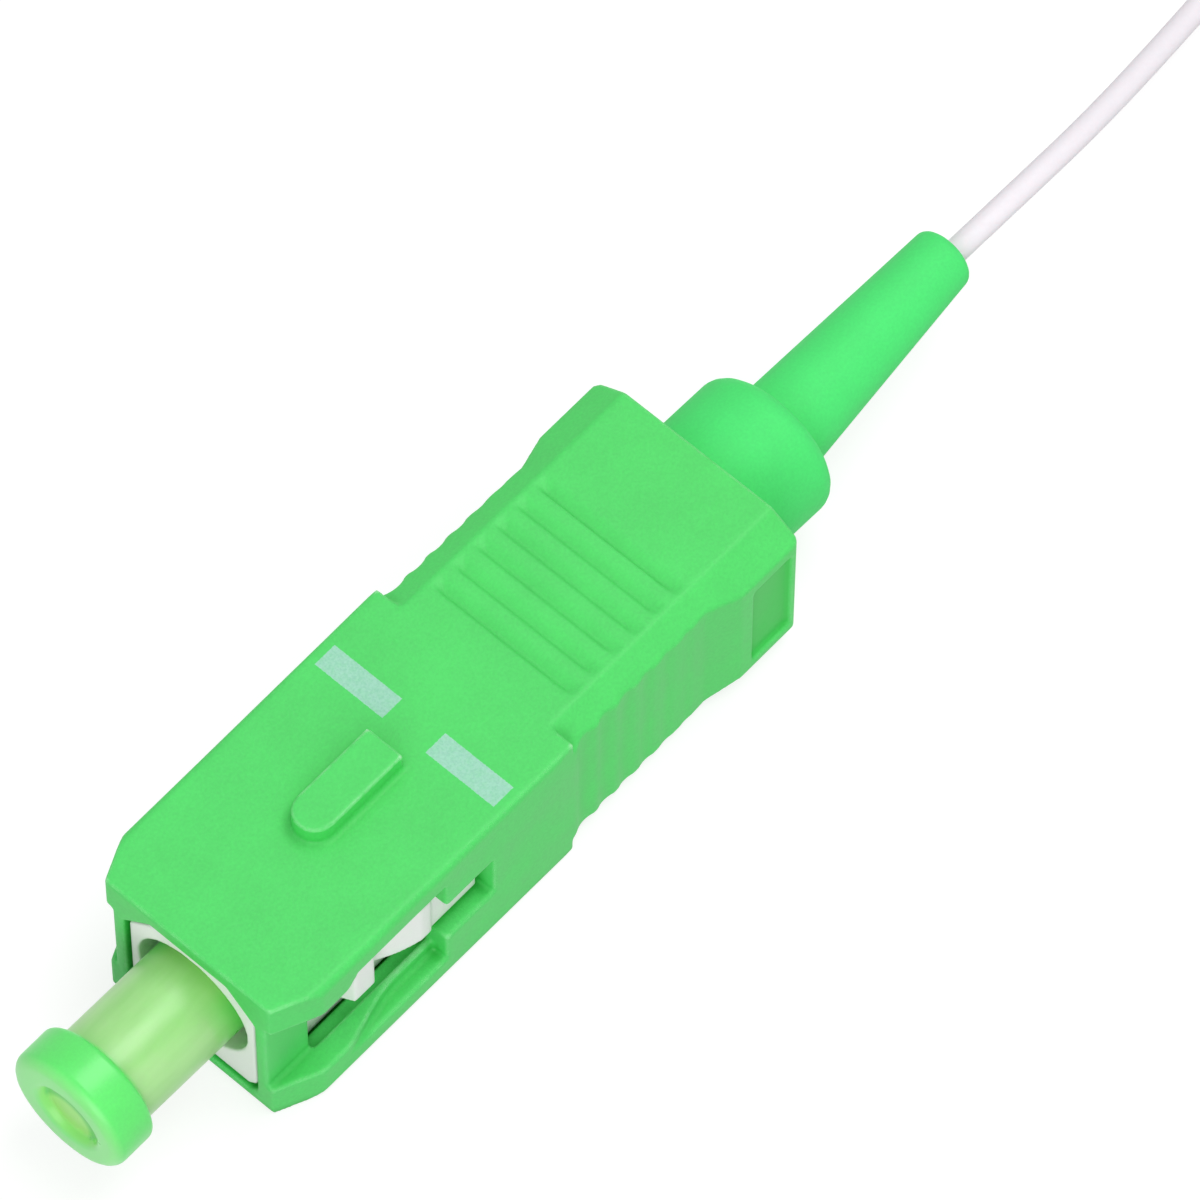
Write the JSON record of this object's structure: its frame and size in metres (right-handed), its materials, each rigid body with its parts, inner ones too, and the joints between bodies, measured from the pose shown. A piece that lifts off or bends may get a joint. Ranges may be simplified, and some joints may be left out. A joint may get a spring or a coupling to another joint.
{
  "type": "fibre optic connector",
  "caption": "Push-pull fibre pigtail connector with a keyed green grip, angled ferrule, dust cap, tapered boot and a thin cord put away in a tied hank.",
  "frame": {"origin": "centre of the ferrule's polished face, on the optical axis", "axes": "+X out of the mating end along the optical axis, +Z to the key side, +Y to the flank with the bare recess"},
  "size_m": [0.0929, 0.0133, 0.0082],
  "materials": {
    "green_plastic": "satin",
    "white_plastic": "satin",
    "white_ceramic": "polished",
    "plated_metal": "satin",
    "spring_steel": "satin",
    "clear_tube": "gloss",
    "green_rubber": "satin",
    "cap_plastic": "gloss",
    "glass_fibre": "polished",
    "cord_jacket": "satin",
    "wrap": "satin"
  },
  "bodies": {
    "plug": {"plug_frame": "white_plastic", "stop_ring": "white_plastic", "guide_tube": "clear_tube", "boot": "green_rubber", "cord_lead": "cord_jacket", "cord_run": "cord_jacket", "cord_hank": "cord_jacket", "coil_tie": "wrap", "coil_spring": "spring_steel"},
    "grip": {"grip": "green_plastic"},
    "ferrule": {"ferrule": "white_ceramic", "ferrule_flange": "plated_metal", "fibre": "glass_fibre", "buffer_end": "cord_jacket"},
    "dust_cap": {"dust_cap": "cap_plastic"}
  },
  "joints": [
    {"name": "grip_slide", "type": "slide", "parent": "plug", "child": "grip", "axis": [1, 0, 0], "range_m": [-0.0014, 0]},
    {"name": "ferrule_slide", "type": "slide", "parent": "plug", "child": "ferrule", "axis": [1, 0, 0], "range_m": [-0.001, 0], "stiffness_N_per_m": 5000, "deforming": ["coil_spring"]},
    {"name": "dust_cap_pull", "type": "slide", "parent": "plug", "child": "dust_cap", "axis": [1, 0, 0], "range_m": [0, 0.01]}
  ]
}
